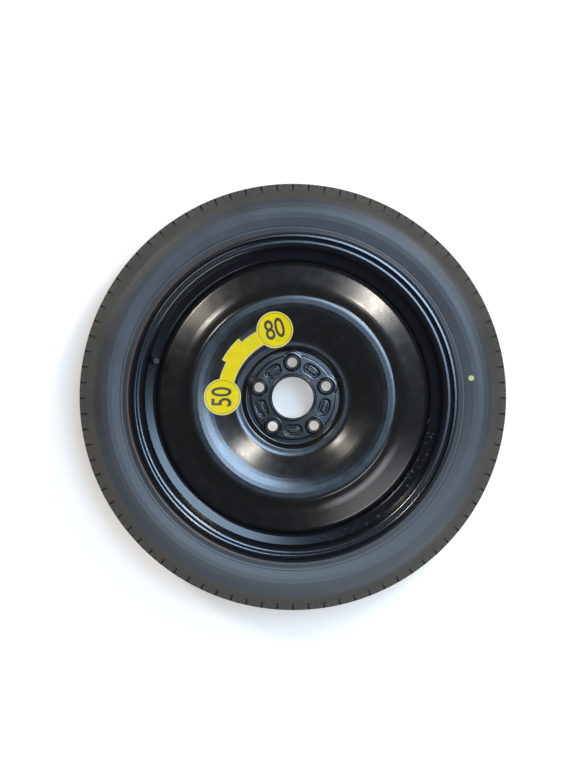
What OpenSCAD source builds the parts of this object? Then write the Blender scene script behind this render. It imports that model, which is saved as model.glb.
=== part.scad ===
// Temporary-use spare wheel: pressed steel disc in a rolled steel rim, with a narrow tyre,
// a snap-in valve and a speed label. It lies flat, outboard face up. The origin is the centre
// of the hub mounting face and +Z is the wheel's axis, pointing outboard.

/* [Rim] */
// Width between the rim flanges
rim_w = 101.6; // [98:0.1:110]
// Diameter of the bead seats at the flanges
seat_d = 462; // [458:0.5:470]
// Height of a flange above its bead seat
flange_h = 17.3; // [16:0.1:19]
// Width of the rolled lip, from the flange's inner face
lip_w = 11.8; // [10.5:0.1:13]
// Radius of the rolled lip on the tyre side
lip_r = 9.5; // [8:0.1:10]
// Radius between flange and bead seat
heel_r = 6.5; // [5:0.1:8]
// Taper of the bead seats, degrees
seat_taper = 5; // [3:0.5:7]
// Length of the outboard bead seat up to the well's side wall
seat_len = 20.8; // [20:0.1:23]
// Height of the safety humps
hump_h = 0.9; // [0.5:0.1:1.5]
// Steel thickness of the rim
rim_t = 2.8; // [2.2:0.1:3.2]
// Depth of the well below the bead seats
well_drop = 18.7; // [17:0.1:20]
// Width of the well's floor
well_w = 36; // [32:0.5:38]
// Slope of the well's outboard side wall, degrees from square to the axis
ledge_slope = 12; // [9:0.5:16]

/* [Disc] */
// Steel thickness of the disc
disc_t = 4; // [3:0.1:4.2]
// Offset: hub mounting face outboard of the rim's middle
wheel_offset = 20; // [17:0.5:23]
// Diameter of the centre bore
bore_d = 65.1; // [56:0.1:67]
// Width of the raised lip round the bore
bore_lip_w = 3.6; // [2.5:0.1:5]
// Height of the bore lip above the hub pad
bore_lip_h = 1.3; // [0.6:0.1:2]
// Radius of the raised hub pad
pad_r = 66; // [64:0.1:67]
// Height of the hub pad above the flat of the sheet
pad_h = 2.5; // [1.5:0.1:3]
// Radius at the foot of the wall round the hub
hub_wall_r = 72.5; // [72:0.1:75]
// Height of that wall
hub_wall_h = 7; // [5:0.1:8]
// Width of that wall, seen from the front
hub_wall_w = 5.5; // [4.5:0.1:6.5]
// Radius of the crown
crown_r = 154; // [150:0.5:157]
// Height of the crown above the mounting face
crown_z = 28.4; // [24:0.2:31]
// Steepest slope of the bowl, degrees
bowl_slope = 20; // [17:0.5:22]
// Height of the disc's outer edge above the mounting face, where it turns down
edge_z = 11.7; // [9:0.1:14]
// Outside radius of the bend at that edge
edge_bend_r = 10.5; // [8:0.5:12]
// Length of the flange that turns down and is welded in the well
disc_flange_len = 30; // [24:0.5:34]
// Number of arc welds
weld_count = 4; // [3:1:8]
// Length of each weld, degrees
weld_arc = 18; // [10:1:30]
// Throat of a weld
weld_throat = 3.6; // [2.5:0.1:5]

/* [Bolts] */
// Number of bolt holes
bolt_count = 5; // [4:1:5]
// Pitch circle diameter
pcd = 108; // [107:0.1:110]
// Diameter of a bolt hole
bolt_hole_d = 15; // [13:0.1:15.5]
// Wide diameter of the bolt seat's cone
bolt_seat_d = 19.4; // [18:0.1:20]
// Included angle of the seat's cone, degrees
bolt_seat_angle = 60; // [50:1:70]
// Diameter of the raised collar at its foot
collar_d = 28; // [26:0.5:29]
// Height of the collar above the hub pad
collar_h = 3.4; // [2.5:0.1:4]
// Angle of the first bolt hole
bolt_angle = 91; // [80:1:100]

/* [Hub pockets] */
// Width of a pocket across the pitch circle
pocket_w = 17; // [15:0.1:18]
// Half of the arc that a pocket's straight part covers, degrees
pocket_arc = 6; // [4:0.5:7]
// Radius of the pockets' middle line
pocket_r = 50.5; // [50:0.1:51.5]
// Width of the raised island in a pocket
island_w = 7.6; // [6:0.1:9]
// Height of that island above the pocket's floor
island_h = 1.5; // [0.8:0.1:1.8]

/* [Tyre] */
// Outer diameter of the tyre
tyre_d = 657; // [652:1:662]
// Section width of the tyre
section_w = 127; // [126:0.5:132]
// Width of the tread
tread_w = 100; // [96:0.5:104]
// Thickness of the tyre under the tread, grooves included
tread_t = 12.5; // [11:0.5:15]
// Thickness of the sidewall
wall_t = 6.8; // [5:0.1:7.5]
// Depth of the tread grooves
groove_depth = 4.5; // [3:0.1:6]
// Width of the tread grooves
groove_w = 6; // [4:0.5:8]
// Number of grooves round the tyre
groove_count = 4; // [3:1:5]
// Number of slots round each shoulder
slot_count = 84; // [60:1:96]
// Width of a shoulder slot
slot_w = 2.6; // [1.5:0.1:3.5]
// Width of the fine ribs on the sidewall
rib_w = 1.3; // [0.8:0.1:2]
// Height of those ribs
rib_h = 0.7; // [0.4:0.1:1]

/* [Valve] */
// Angle of the valve round the rim
valve_angle = 164.5; // [150:0.5:180]
// Diameter of the valve hole in the rim
valve_hole_d = 11.7; // [11:0.1:12.5]
// Diameter of the rubber body outside the rim
body_d = 13.6; // [13:0.1:14.4]
// Diameter of the rubber foot inside the rim
foot_d = 15.2; // [14.6:0.1:16]
// Length of the rubber body outside the rim
body_len = 15; // [13:0.5:18]
// Diameter of the brass stem in the rubber
stem_d = 6; // [5.6:0.1:6.4]
// Diameter of the stem's thread
thread_d = 7.7; // [7.5:0.1:8]
// Length of stem that stands out of the rubber
thread_len = 12; // [11:0.5:14]
// Diameter of the cap
cap_d = 10.4; // [10:0.1:11.5]
// Length of the cap
cap_len = 12; // [11:0.1:13]
// Number of ribs round the cap
cap_ribs = 20; // [12:1:28]
// Diameter of the core's bore in the stem
core_bore_d = 5.3; // [5.1:0.05:5.4]
// Diameter of the core's pin
pin_d = 1.5; // [1.3:0.1:1.6]
// Travel of the core's pin
pin_travel = 1; // [0.5:0.1:1.2]

/* [Label] */
// Diameter of each round end of the speed label
label_d = 56; // [50:0.5:58]
// Radius of the label's middle line round the hub
label_r = 107.6; // [106:0.1:110]
// Width of the band between the round ends
band_w = 23; // [18:0.5:26]
// Angle of the middle of the label
label_angle = 142; // [120:1:160]
// Angle from the middle to each round end
label_half_arc = 37.2; // [33:0.1:40]
// Width of the tab on the band
tab_w = 36.4; // [25:0.2:38]
// How far the tab stands out of the band
tab_len = 7.2; // [4:0.2:9]
// Thickness of the label
label_t = 0.25; // [0.2:0.05:0.4]

/* [Fits] */
// Gap between disc flange and well
flange_gap = 0.3; // [0.1:0.05:0.5]
// Gap between tyre and rim
bead_gap = 0.3; // [0.2:0.05:0.5]
// Gap between a weld and the sheets it joins
weld_gap = 0.15; // [0.1:0.05:0.3]
// Gap between the rubber valve body and the rim
valve_gap = 0.2; // [0.1:0.05:0.3]
// Gap between the pieces of the valve
core_gap = 0.15; // [0.1:0.01:0.2]
// Gap between cap and stem
cap_gap = 0.3; // [0.25:0.01:0.4]
// Gap between label and disc
label_gap = 0.05; // [0.03:0.01:0.1]

/* [Hidden] */
$fn = 96;

// Arcs of the revolved outlines: largest turn and largest chord of a step
arc_step = 14;
chord_max = 11;

// Planes and radii that pieces share
mid_z = -wheel_offset;
seat_r = seat_d / 2;
flange_r = seat_r + flange_h;
half_w = rim_w / 2;
well_r = seat_r - well_drop;
well_in_r = well_r - rim_t;
ledge_top_r = seat_r - tan(seat_taper) * seat_len + hump_h;
ledge_top_z = half_w - seat_len;
ledge_drop = tan(ledge_slope) * (ledge_top_r - well_r);
tyre_r = tyre_d / 2;
bore_r = bore_d / 2;
bolt_r = pcd / 2;
pad_z = disc_t + pad_h;

// Outlines. A chain is a list of corners [r, z, fillet radius]; it becomes a list of
// [point, unit normal on the left of the travel]. A fillet shrinks where its walls are too short.
function unit(v) = v / norm(v);
function left(v) = [-v[1], v[0]];
function flat(p) = [p[0], p[1]];
function turn(u, v) = atan2(u[0] * v[1] - u[1] * v[0], u * v);
function spin(v, a) = [v[0] * cos(a) - v[1] * sin(a), v[0] * sin(a) + v[1] * cos(a)];
function steps(r, a) = max(2, ceil(abs(a) / arc_step), ceil(r * abs(a) * PI / 180 / chord_max));
function corner_turn(p, q, s) = turn(unit(flat(q) - flat(p)), unit(flat(s) - flat(q)));
// Length that a fillet wants of each wall beside it, and the length that a wall can give it
function reach(c, i) =
    i == 0 || i == len(c) - 1 ? 0 : c[i][2] * tan(abs(corner_turn(c[i - 1], c[i], c[i + 1])) / 2);
function room(c, i, j) = let (wall = norm(flat(c[j]) - flat(c[i]))) max(wall / 2, wall - reach(c, j));
function fillet(c, i) =
    let (u = unit(flat(c[i]) - flat(c[i - 1])), a = corner_turn(c[i - 1], c[i], c[i + 1]))
    let (cut = min(reach(c, i), room(c, i, i - 1), room(c, i, i + 1)))
    let (r = cut < reach(c, i) ? cut / tan(abs(a) / 2) : c[i][2])
    let (start = flat(c[i]) - u * cut, centre = start + left(u) * r * sign(a), n = steps(r, a))
    [for (k = [0:n]) let (d = spin(u, a * k / n)) [centre - left(d) * r * sign(a), left(d)]];
function chain(c) =
    let (last = len(c) - 1)
    concat([[flat(c[0]), left(unit(flat(c[1]) - flat(c[0])))]],
           [for (i = [1:last - 1]) each fillet(c, i)],
           [[flat(c[last]), left(unit(flat(c[last]) - flat(c[last - 1])))]]);
function side(path, d) = [for (p = path) p[0] + p[1] * d];
function reversed(list) = [for (i = [len(list) - 1:-1:0]) list[i]];
function sheet_outline(path, t) = concat(side(path, 0), reversed(side(path, -t)));

// Tyre side of the rim, from the outboard lip to the inboard lip, about the rim's middle
function seat_at(z) = seat_r - tan(seat_taper) * (half_w - abs(z));
hump_w = 3.2;
hump_r = rim_t + 1.4;
hump_top = 4.8;
inner_hump_z = half_w - seat_len - 1;
rim_corners = [
    [flange_r, half_w + lip_w, 0],
    [flange_r, half_w, lip_r],
    [seat_r, half_w, heel_r],
    [seat_at(ledge_top_z + hump_top + hump_w), ledge_top_z + hump_top + hump_w, 4],
    [ledge_top_r, ledge_top_z + hump_top, hump_r],
    [ledge_top_r, ledge_top_z, hump_r],
    [well_r, ledge_top_z - ledge_drop, 4.5],
    [well_r, ledge_top_z - ledge_drop - well_w, 12],
    [seat_at(inner_hump_z) - 0.5, -inner_hump_z + hump_w, 6],
    [seat_at(inner_hump_z) + hump_h, -inner_hump_z, hump_r],
    [seat_at(inner_hump_z + hump_w), -inner_hump_z - hump_w, 4],
    [seat_r, -half_w, heel_r],
    [flange_r, -half_w, lip_r],
    [flange_r, -half_w - lip_w, 0]
];
rim_path = chain(rim_corners);

// Outboard face of the disc, from the bore to the end of its welded flange
disc_r = well_in_r - flange_gap;
shelf_w = 8;
bowl_mid_r = (hub_wall_r + hub_wall_w + shelf_w + crown_r) / 2 - 10;
shelf_z = disc_t + hub_wall_h;
bowl_start = hub_wall_r + hub_wall_w + shelf_w;
bowl_mid_z = shelf_z + 0.4 + tan(bowl_slope) * (bowl_mid_r - bowl_start);
crown_in_r = crown_r - 12.5;
crown_out_r = crown_r + 3;
slope_mid_r = (crown_out_r + disc_r) / 2 - 2;
slope_mid_z = edge_z + 0.36 * (crown_z - edge_z);
flange_end_z = edge_z - disc_flange_len;
disc_corners = [
    [bore_r - 3, disc_t, 0],
    [hub_wall_r, disc_t, 3],
    [hub_wall_r + hub_wall_w, shelf_z, 5],
    [bowl_start, shelf_z + 0.4, 22],
    [bowl_mid_r, bowl_mid_z, 320],
    [crown_in_r, crown_z, 90],
    [crown_out_r, crown_z, 11],
    [slope_mid_r, slope_mid_z, 160],
    [disc_r, edge_z, edge_bend_r],
    [disc_r, flange_end_z, 0]
];
disc_path = chain(disc_corners);

// Outboard half of the tyre's outside, from bead toe to crown, about the rim's middle
bead_w = 12.6;
crown_drop = 3.4;
lip_wrap = 60;
lip_clear = lip_r + bead_gap;
lip_leave = [flange_r - lip_r + lip_clear * sin(lip_wrap), half_w + lip_r - lip_clear * cos(lip_wrap)];
half_section = section_w / 2;
half_tread = tread_w / 2;
bulge_r = seat_r + 0.46 * (tyre_r - seat_r);
shoulder_r = tyre_r - 24.5;
function seat_clear(z) = seat_at(z) + bead_gap;
outside_half = [
    [seat_clear(half_w - bead_w), half_w - bead_w, 1.5],
    [seat_clear(half_w - bead_gap), half_w - bead_gap, heel_r + 0.3],
    [flange_r - lip_r + lip_clear * tan(lip_wrap / 2), half_w - bead_gap, lip_clear],
    [lip_leave[0] + 7 * cos(lip_wrap), lip_leave[1] + 7 * sin(lip_wrap), 4],
    [flange_r + 10, half_section - 1, 7],
    [bulge_r, half_section, 60],
    [shoulder_r, half_section - 3.5, 45],
    [tyre_r - crown_drop - 1, half_tread + 0.5, 9],
    [tyre_r, 0.4 * half_tread, 200]
];
// The same half of the inside
inside_half = [
    [seat_clear(half_w - bead_w) + 3, half_w - bead_w - 0.6, 2],
    [flange_r - 4, half_w - wall_t - 0.6, 14],
    [flange_r + 9.5, half_section - wall_t - 1.5, 14],
    [bulge_r, half_section - wall_t, 60],
    [shoulder_r - 3, half_section - wall_t - 3, 35],
    [tyre_r - tread_t - 1, half_tread - 5, 14],
    [tyre_r - tread_t, 0.6 * half_tread, 200]
];
function mirrored(half) = [for (p = reversed(half)) [p[0], -p[1], p[2]]];
toe_in = inside_half[0];
toe_out = outside_half[0];
tyre_outside = chain(concat([toe_in], outside_half, mirrored(outside_half), mirrored([toe_in])));
tyre_inside = chain(concat([toe_out], inside_half, mirrored(inside_half), mirrored([toe_out])));
outside_pts = side(tyre_outside, 0);
inside_pts = side(tyre_inside, 0);
tyre_outline = concat([for (i = [1:len(outside_pts) - 2]) outside_pts[i]],
                      [for (i = [len(inside_pts) - 2:-1:1]) inside_pts[i]]);
// Outside of the outboard sidewall as a table of r against z, for the ribs that stand on it
wall_table = [for (p = outside_pts) if (p[0] > flange_r && p[1] > half_tread) p];
rib_radii = [flange_r + 4.5, flange_r + 7.7, seat_r + 31, tyre_r - 20.4, tyre_r - 15.6];

// Valve: its own axis stands square on the ledge, u runs outboard from the rim's tyre side
ledge_mid_r = (ledge_top_r + well_r) / 2;
ledge_mid_z = mid_z + ledge_top_z - ledge_drop / 2;
body_top = rim_t + body_len;
stem_top = body_top + thread_len;
foot_h = 6;
bulb_h = 4.5;
neck_r = stem_d / 2 + 1.4;
cap_floor = 2;
cap_seat = stem_top + 0.2;
cap_top = cap_seat + 0.8 + cap_floor;
core_top = stem_top - 0.9;
core_len = 5.4;
core_floor = core_top - core_len;
core_r = core_bore_d / 2;
barrel_r = core_r - core_gap;
chamber_r = barrel_r - 0.55;
washer_h = 1;
seat_taper_h = 1.6;
pin_r = pin_d / 2;
pin_hole_r = pin_r + core_gap;
cup_r = pin_r + 0.75;
cup_h = 0.8;
seal_h = 0.7;
stem_bore_r = cup_r + 2 * core_gap;
collar_r = chamber_r - core_gap;
pin_collar_h = 0.8;
spring_wire = 0.36;
spring_turns = 3.5;
spring_r = (pin_r + chamber_r) / 2 + 0.02;
barrel_floor_h = 0.8;
spring_low = core_floor + barrel_floor_h + core_gap;
spring_high = spring_low + 1.4 + pin_travel;
pin_low = core_floor - washer_h - seal_h - 2 * core_gap - cup_h;

module revolve(points) {
    rotate_extrude($fn = 180) polygon(points);
}

module at_valve() {
    rotate(valve_angle)
        translate([ledge_mid_r, 0, ledge_mid_z])
            rotate([0, -ledge_slope, 0])
                children();
}

module at_bolts(shift = 0) {
    for (i = [0:bolt_count - 1])
        rotate(bolt_angle + (i + shift) * 360 / bolt_count)
            children();
}

// One rib of the sidewall as a section, half of it sunk in the wall
module rib_section(r, outward) {
    z = outward * lookup(r, wall_table);
    polygon([
        [r - rib_w, z],
        [r - rib_w / 3, z + rib_h],
        [r + rib_w / 3, z + rib_h],
        [r + rib_w, z],
        [r + rib_w / 3, z - rib_h],
        [r - rib_w / 3, z - rib_h]
    ]);
}

// One slot that crosses the shoulder, cut along a slope from the tread to the sidewall
module shoulder_slot() {
    slot_run = 16;
    slot_fall = 9;
    translate([tyre_r - crown_drop - groove_depth, 0, half_tread - 8])
        rotate([0, -atan(slot_fall / slot_run), 0])
            translate([0, -slot_w / 2, 0])
                cube([20, slot_w, norm([slot_run, slot_fall]) + 4]);
}

module tyre() {
    color([0.16, 0.17, 0.18])
        translate([0, 0, mid_z])
            difference() {
                rotate_extrude($fn = 180)
                    difference() {
                        union() {
                            polygon(tyre_outline);
                            for (r = rib_radii, outward = [-1, 1])
                                rib_section(r, outward);
                        }
                        for (i = [0:groove_count - 1])
                            translate([tyre_r - groove_depth,
                                       (i + 0.5 - groove_count / 2) * tread_w / (groove_count + 0.6)
                                       - groove_w / 2])
                                square([2 * groove_depth, groove_w]);
                    }
                for (i = [0:slot_count - 1])
                    rotate(i * 360 / slot_count) {
                        shoulder_slot();
                        rotate(180 / slot_count)
                            mirror([0, 0, 1])
                                shoulder_slot();
                    }
            }
}

module rim() {
    color([0.05, 0.05, 0.06])
        difference() {
            translate([0, 0, mid_z])
                revolve(sheet_outline(rim_path, rim_t));
            at_valve()
                translate([0, 0, -rim_t])
                    cylinder(h = 4 * rim_t, d = valve_hole_d);
        }
}

// A ring sector with sloping sides, rounded at both ends: the form of the pressed pockets
module pressed_arc(w, draft, low, high, half_arc) {
    rotate(-half_arc)
        rotate_extrude(angle = 2 * half_arc)
            polygon([
                [pocket_r - w / 2 + draft, low],
                [pocket_r + w / 2 - draft, low],
                [pocket_r + w / 2, high],
                [pocket_r - w / 2, high]
            ]);
    for (end = [-1, 1])
        rotate(end * half_arc)
            translate([pocket_r, 0, low])
                cylinder(h = high - low, r1 = w / 2 - draft, r2 = w / 2);
}

// The raised hub pad with a slightly lower lobe at each bolt
module pad_form(low, high) {
    pad_draft = 1.5;
    lobe_r = 17.4;
    lobe_step = 0.3;
    translate([0, 0, low])
        cylinder(h = high - low, r1 = pad_r, r2 = pad_r - pad_draft);
    at_bolts()
        translate([bolt_r, 0, low])
            cylinder(h = high - low - lobe_step, r1 = lobe_r, r2 = lobe_r - pad_draft);
}

module disc() {
    contact_r = bore_r + bore_lip_w + 2;
    collar_top = pad_z + collar_h;
    cone_h = (bolt_seat_d - bolt_hole_d) / 2 / tan(bolt_seat_angle / 2);
    color([0.09, 0.09, 0.1])
        difference() {
            union() {
                revolve(sheet_outline(disc_path, disc_t));
                pad_form(disc_t - 0.5, pad_z);
                // raised lip round the bore
                revolve([
                    [bore_r - 2, disc_t - 0.5],
                    [bore_r + bore_lip_w + 1, disc_t - 0.5],
                    [bore_r + bore_lip_w + 1, pad_z - 0.1],
                    [bore_r + bore_lip_w, pad_z + 0.5 * bore_lip_h],
                    [bore_r + 0.65 * bore_lip_w, pad_z + bore_lip_h],
                    [bore_r + 0.3 * bore_lip_w, pad_z + bore_lip_h],
                    [bore_r - 2, pad_z]
                ]);
                // collars round the bolt seats
                at_bolts()
                    translate([bolt_r, 0, disc_t - 0.5])
                        cylinder(h = collar_top - disc_t + 0.5, r1 = collar_d / 2 + 0.6,
                                 r2 = bolt_seat_d / 2 + 0.9);
            }
            // hollow under the pad, apart from the bore's ring and the pockets' floors
            difference() {
                union() {
                    revolve([
                        [contact_r, -1],
                        [pad_r - disc_t + 0.6, -1],
                        [pad_r - disc_t - 1.5, pad_h],
                        [contact_r, pad_h]
                    ]);
                    at_bolts()
                        translate([bolt_r, 0, -1])
                            cylinder(h = pad_h + 1.4, r1 = collar_d / 2, r2 = collar_d / 2 - 1.5);
                }
                at_bolts(0.5)
                    pressed_arc(pocket_w + 1, 1.2, -2, pad_h + 1, pocket_arc);
            }
            // pockets between the bolts, each with its island
            at_bolts(0.5)
                difference() {
                    pressed_arc(pocket_w, 1.6, disc_t, pad_z + 0.1, pocket_arc);
                    pressed_arc(island_w, -0.9, disc_t - 1, disc_t + island_h, pocket_arc);
                }
            at_bolts()
                translate([bolt_r, 0, 0]) {
                    translate([0, 0, -1])
                        cylinder(h = collar_top + 2, d = bolt_hole_d);
                    translate([0, 0, collar_top - cone_h])
                        cylinder(h = cone_h, d1 = bolt_hole_d, d2 = bolt_seat_d);
                }
            cylinder(h = 8 * disc_t, d = bore_d, center = true);
        }
}

module weld_beads() {
    low = flange_end_z - weld_gap;
    outer = well_in_r - weld_gap;
    color([0.12, 0.12, 0.13])
        for (i = [0:weld_count - 1])
            rotate(45 - weld_arc / 2 + i * 360 / weld_count)
                rotate_extrude(angle = weld_arc)
                    polygon([
                        [outer, low],
                        [outer, low - 1.3 * weld_throat],
                        [outer - 0.55 * weld_throat, low - weld_throat],
                        [outer - 0.95 * weld_throat, low - 0.55 * weld_throat],
                        [outer - 1.1 * weld_throat, low]
                    ]);
}

module valve_body() {
    groove_r = valve_hole_d / 2 - valve_gap;
    body_r = body_d / 2;
    foot_r = foot_d / 2;
    bulb_low = rim_t + valve_gap;
    inner = stem_d / 2 + core_gap;
    color([0.1, 0.1, 0.1])
        at_valve()
            rotate_extrude()
                polygon([
                    [inner, -foot_h],
                    [foot_r - 2.6, -foot_h],
                    [foot_r - 0.9, -foot_h + 1.8],
                    [foot_r, -2.2],
                    [foot_r, -1],
                    [foot_r - 0.9, -valve_gap],
                    [groove_r, -valve_gap],
                    [groove_r, bulb_low],
                    [body_r - 0.6, bulb_low],
                    [body_r, bulb_low + 0.8],
                    [body_r - 0.3, bulb_low + bulb_h],
                    [neck_r + 0.9, bulb_low + 0.8 * body_len],
                    [neck_r + 0.3, body_top - 0.6],
                    [neck_r - 0.2, body_top],
                    [inner, body_top]
                ]);
}

module valve_stem() {
    stem_r = stem_d / 2;
    thread_r = thread_d / 2;
    foot = -foot_h + 1;
    taper_low = core_floor - washer_h - seat_taper_h;
    color([0.72, 0.6, 0.33])
        at_valve()
            rotate_extrude()
                polygon([
                    [stem_bore_r, foot],
                    [stem_r, foot],
                    [stem_r, body_top + 0.3],
                    [thread_r, body_top + 0.3 + thread_r - stem_r],
                    [thread_r, stem_top - 0.6],
                    [thread_r - 0.5, stem_top],
                    [core_r, stem_top],
                    [core_r, core_floor - washer_h + 0.4],
                    [stem_bore_r, taper_low]
                ]);
}

module core_barrel() {
    color([0.8, 0.68, 0.38])
        at_valve()
            translate([0, 0, core_floor])
                rotate_extrude($fn = 48)
                    polygon([
                        [pin_hole_r, 0],
                        [barrel_r - 0.3, 0],
                        [barrel_r, 0.3],
                        [barrel_r, core_len],
                        [chamber_r, core_len],
                        [chamber_r, barrel_floor_h],
                        [pin_hole_r, barrel_floor_h]
                    ]);
}

module core_washer() {
    color([0.85, 0.2, 0.15])
        at_valve()
            translate([0, 0, core_floor - washer_h])
                rotate_extrude($fn = 48)
                    polygon([
                        [pin_hole_r, 0.2],
                        [barrel_r - 0.75, 0.2],
                        [barrel_r - 0.15, washer_h - core_gap],
                        [pin_hole_r, washer_h - core_gap]
                    ]);
}

module core_pin() {
    color([0.86, 0.76, 0.5])
        at_valve()
            rotate_extrude($fn = 48)
                polygon([
                    [0, pin_low],
                    [cup_r, pin_low],
                    [cup_r, pin_low + cup_h],
                    [pin_r, pin_low + cup_h],
                    [pin_r, spring_high + core_gap],
                    [collar_r, spring_high + core_gap],
                    [collar_r, spring_high + core_gap + pin_collar_h],
                    [pin_r, spring_high + core_gap + pin_collar_h],
                    [pin_r, core_top + 0.2],
                    [pin_r - 0.2, core_top + 0.4],
                    [0, core_top + 0.4]
                ]);
}

module core_seal() {
    color([0.08, 0.08, 0.08])
        at_valve()
            translate([0, 0, pin_low + cup_h + core_gap / 2])
                rotate_extrude($fn = 48)
                    translate([pin_r + core_gap / 2, 0])
                        square([cup_r - pin_r - core_gap / 2, seal_h]);
}

// A coil spring as one tube swept along a helix
module core_spring() {
    sides = 8;
    per_turn = 14;
    n = per_turn * spring_turns;
    wire_r = spring_wire / 2;
    low = spring_low + wire_r;
    rise = spring_high - spring_low - spring_wire;
    function place(i) =
        let (a = i * 360 / per_turn)
        [spring_r * cos(a), spring_r * sin(a), low + rise * i / n];
    points = [
        for (i = [0:n], k = [0:sides - 1])
            let (a = i * 360 / per_turn, b = k * 360 / sides)
            place(i) + [wire_r * cos(b) * cos(a), wire_r * cos(b) * sin(a), wire_r * sin(b)]
    ];
    faces = concat(
        [[for (k = [0:sides - 1]) k]],
        [for (i = [0:n - 1], k = [0:sides - 1])
            [i * sides + k, (i + 1) * sides + k, (i + 1) * sides + (k + 1) % sides,
             i * sides + (k + 1) % sides]],
        [[for (k = [sides - 1:-1:0]) n * sides + k]]
    );
    color([0.75, 0.76, 0.78])
        at_valve()
            polyhedron(points, faces);
}

module valve_cap() {
    cap_r = cap_d / 2;
    hollow_r = thread_d / 2 + cap_gap;
    rib_cut_r = 0.45;
    color([0.06, 0.06, 0.06])
        at_valve()
            difference() {
                translate([0, 0, cap_top - cap_len])
                    rotate_extrude()
                        polygon([
                            [0, 0],
                            [cap_r, 0],
                            [cap_r, cap_len - 1],
                            [cap_r - 1, cap_len],
                            [0, cap_len]
                        ]);
                translate([0, 0, cap_top - cap_len - 1])
                    cylinder(h = cap_len - cap_floor + 1, r = hollow_r);
                for (i = [0:cap_ribs - 1])
                    rotate(i * 360 / cap_ribs)
                        translate([cap_r + 0.1, 0, cap_top - cap_len - 1])
                            cylinder(h = cap_len - 0.6, r = rib_cut_r, $fn = 24);
            }
}

module cap_washer() {
    washer_t = cap_top - cap_floor - cap_seat - 2 * core_gap;
    color([0.2, 0.2, 0.2])
        at_valve()
            translate([0, 0, cap_seat + core_gap])
                cylinder(h = washer_t, r = thread_d / 2 - 0.2);
}

module label_outline() {
    rotate(label_angle) {
        for (end = [-1, 1])
            rotate(end * label_half_arc)
                translate([label_r, 0])
                    circle(d = label_d);
        intersection() {
            difference() {
                circle(r = label_r - 3.5 + band_w / 2, $fn = 180);
                circle(r = label_r - 3.5 - band_w / 2, $fn = 180);
            }
            polygon([
                [0, 0],
                [2 * label_r, 2 * label_r * tan(label_half_arc)],
                [2 * label_r, -2 * label_r * tan(label_half_arc)]
            ]);
        }
        translate([label_r - 3.5 + band_w / 2 - 3, -tab_w / 2])
            square([tab_len + 3, tab_w]);
    }
}

module speed_label() {
    on_bowl = [for (p = disc_path) if (p[0][0] > bowl_start - 6 && p[0][0] < crown_out_r) p];
    color([0.95, 0.88, 0.05])
        intersection() {
            revolve(concat(side(on_bowl, label_gap + label_t), reversed(side(on_bowl, label_gap))));
            linear_extrude(height = 2 * crown_z)
                label_outline();
        }
}

tyre();
rim();
disc();
weld_beads();
valve_body();
valve_stem();
core_barrel();
core_washer();
core_pin();
core_seal();
core_spring();
valve_cap();
cap_washer();
speed_label();
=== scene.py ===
import math

import bmesh
import bpy
from mathutils import Matrix, Vector


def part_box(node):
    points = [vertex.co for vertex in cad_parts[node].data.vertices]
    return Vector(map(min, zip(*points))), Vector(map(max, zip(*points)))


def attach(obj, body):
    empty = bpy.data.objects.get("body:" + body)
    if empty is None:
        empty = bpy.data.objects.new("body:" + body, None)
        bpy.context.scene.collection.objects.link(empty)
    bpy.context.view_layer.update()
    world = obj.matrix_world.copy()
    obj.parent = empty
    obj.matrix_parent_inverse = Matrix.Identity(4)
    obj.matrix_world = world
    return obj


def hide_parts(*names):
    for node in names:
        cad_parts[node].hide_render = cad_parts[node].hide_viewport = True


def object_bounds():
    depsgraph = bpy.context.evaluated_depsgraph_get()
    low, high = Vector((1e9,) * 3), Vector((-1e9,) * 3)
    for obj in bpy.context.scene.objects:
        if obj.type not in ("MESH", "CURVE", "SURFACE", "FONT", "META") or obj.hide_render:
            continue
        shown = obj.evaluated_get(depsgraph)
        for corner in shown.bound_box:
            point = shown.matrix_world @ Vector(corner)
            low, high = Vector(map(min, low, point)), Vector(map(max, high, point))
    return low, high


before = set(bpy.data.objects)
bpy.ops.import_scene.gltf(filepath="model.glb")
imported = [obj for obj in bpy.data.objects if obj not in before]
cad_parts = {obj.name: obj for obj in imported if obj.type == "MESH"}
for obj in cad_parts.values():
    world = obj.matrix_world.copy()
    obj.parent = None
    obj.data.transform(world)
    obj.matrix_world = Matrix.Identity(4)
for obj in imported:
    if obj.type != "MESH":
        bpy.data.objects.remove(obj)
cad_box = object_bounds()

# The view: the camera looks down on the wheel from 2.4 m, a little from the top of the picture,
# so the wheel's axis runs almost through the lens.
mm = 0.001
deg = math.radians(1)
axis_shift = -7.4 * mm
camera_height = 2440 * mm
camera_data = bpy.data.cameras.new("camera")
camera_data.lens = 74.3
camera_data.sensor_fit = "VERTICAL"
camera_data.sensor_height = 36
camera = bpy.data.objects.new("camera", camera_data)
bpy.context.scene.collection.objects.link(camera)
camera.location = (axis_shift, 105 * mm, camera_height)
camera.rotation_euler.x = -1.98 * deg
bpy.context.scene.camera = camera
bpy.context.scene.view_settings.view_transform = "Standard"

# The studio: a white table lit from above, two warm ceiling lamps, a bluish window high on the
# right, a faint strip of sky beside it and a wide dim light from the lower right.


def node_material(name, colour, roughness, **sockets):
    """A new material and its node tree, with constant values set on the shader's own sockets."""
    material = bpy.data.materials.new(name)
    material.use_nodes = True
    tree = material.node_tree
    shader = tree.nodes["Principled BSDF"]
    shader.inputs["Base Color"].default_value = (*colour, 1)
    shader.inputs["Roughness"].default_value = roughness
    for socket, value in sockets.items():
        shader.inputs[socket.replace("_", " ")].default_value = value
    return material, tree, shader


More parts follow.
